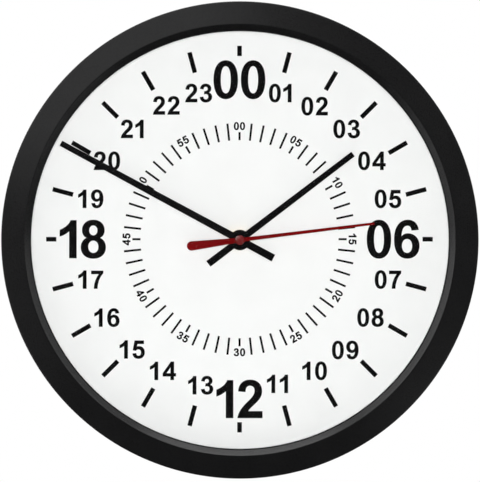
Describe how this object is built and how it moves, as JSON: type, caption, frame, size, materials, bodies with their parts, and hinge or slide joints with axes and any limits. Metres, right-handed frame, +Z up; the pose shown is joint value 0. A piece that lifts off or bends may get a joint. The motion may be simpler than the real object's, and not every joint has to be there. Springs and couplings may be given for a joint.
{
  "type": "twenty-four-hour wall clock",
  "caption": "Round black wall clock with a white twenty-four-hour dial behind glass, baton hands, a red second hand and a battery quartz movement.",
  "frame": {"origin": "seat of the hanging slot's upper end, in the plane of the wall face", "axes": "+Z up, +Y from the dial into the wall, +X to the right as seen from the front"},
  "size_m": [0.3556, 0.0471, 0.3556],
  "materials": {
    "black_plastic": "satin",
    "glass": "polished",
    "dial_white": "matte",
    "hand_black": "satin",
    "hand_red": "satin",
    "brass": "satin",
    "steel": "satin",
    "copper": "satin",
    "housing": "matte",
    "gear_plastic": "satin",
    "board": "satin",
    "resin": "gloss",
    "ferrite": "matte",
    "rubber": "matte",
    "cell": "satin"
  },
  "bodies": {
    "case": {"bezel_ring": "black_plastic", "lens": "glass", "dial": "dial_white", "back_pan": "black_plastic", "case_screw_1": "steel", "case_screw_2": "steel", "case_screw_3": "steel", "case_screw_4": "steel", "case_screw_5": "steel", "case_screw_6": "steel", "movement_case": "housing", "movement_cover": "housing", "centre_bush": "brass", "dial_gasket": "rubber", "bush_washer": "steel", "bush_nut": "brass", "train_bridge": "gear_plastic", "circuit_board": "board", "control_chip": "resin", "quartz_crystal": "steel", "positive_contact": "steel", "negative_contact": "steel", "stator": "steel", "coil_core": "steel", "coil_bobbin": "gear_plastic", "coil_winding": "copper"},
    "rotor": {"rotor_pinion": "gear_plastic", "rotor_magnet": "ferrite"},
    "intermediate": {"intermediate_wheel": "gear_plastic"},
    "seconds": {"second_wheel": "gear_plastic", "second_hand": "hand_red", "second_hand_cap": "hand_red"},
    "third": {"third_wheel": "gear_plastic"},
    "minute_drive": {"minute_drive_wheel": "gear_plastic"},
    "minutes": {"cannon_pinion": "brass", "minute_hand": "hand_black", "minute_hand_collet": "brass"},
    "motion": {"motion_wheel": "gear_plastic"},
    "hours": {"hour_wheel": "gear_plastic", "hour_hand": "hand_black", "hour_hand_collet": "brass"},
    "setting": {"setting_shaft": "gear_plastic", "setting_knob": "housing"},
    "cell": {"battery": "cell"}
  },
  "joints": [
    {"name": "second_turn", "type": "hinge", "parent": "case", "child": "seconds", "pos_m": [0, 0, -0.138], "axis": [0, 1, 0], "continuous": true},
    {"name": "rotor_turn", "type": "hinge", "parent": "case", "child": "rotor", "pos_m": [0.01447, 0, -0.13455], "axis": [0, 1, 0], "continuous": true},
    {"name": "intermediate_turn", "type": "hinge", "parent": "case", "child": "intermediate", "pos_m": [0.00797, 0, -0.1334], "axis": [0, 1, 0], "continuous": true},
    {"name": "third_turn", "type": "hinge", "parent": "case", "child": "third", "pos_m": [-0.00779, 0, -0.1335], "axis": [0, 1, 0], "continuous": true},
    {"name": "minute_drive_turn", "type": "hinge", "parent": "case", "child": "minute_drive", "pos_m": [0, 0, -0.138], "axis": [0, 1, 0], "continuous": true},
    {"name": "minute_turn", "type": "hinge", "parent": "case", "child": "minutes", "pos_m": [0, 0, -0.138], "axis": [0, 1, 0], "continuous": true},
    {"name": "motion_turn", "type": "hinge", "parent": "case", "child": "motion", "pos_m": [0, 0, -0.1296], "axis": [0, 1, 0], "continuous": true},
    {"name": "hour_turn", "type": "hinge", "parent": "case", "child": "hours", "pos_m": [0, 0, -0.138], "axis": [0, 1, 0], "continuous": true},
    {"name": "setting_turn", "type": "hinge", "parent": "case", "child": "setting", "pos_m": [0, 0, -0.1212], "axis": [0, 1, 0], "continuous": true},
    {"name": "battery_lift", "type": "slide", "parent": "case", "child": "cell", "axis": [0, 1, 0], "range_m": [0, 0.03]}
  ],
  "couplings": [
    {"joint": "rotor_turn", "follows": "second_turn", "ratio": 30},
    {"joint": "intermediate_turn", "follows": "second_turn", "ratio": -6},
    {"joint": "third_turn", "follows": "second_turn", "ratio": -0.13333},
    {"joint": "minute_drive_turn", "follows": "second_turn", "ratio": 0.016667},
    {"joint": "motion_turn", "follows": "minute_turn", "ratio": -0.25},
    {"joint": "hour_turn", "follows": "minute_turn", "ratio": 0.041667},
    {"joint": "setting_turn", "follows": "minute_turn", "ratio": 1}
  ]
}
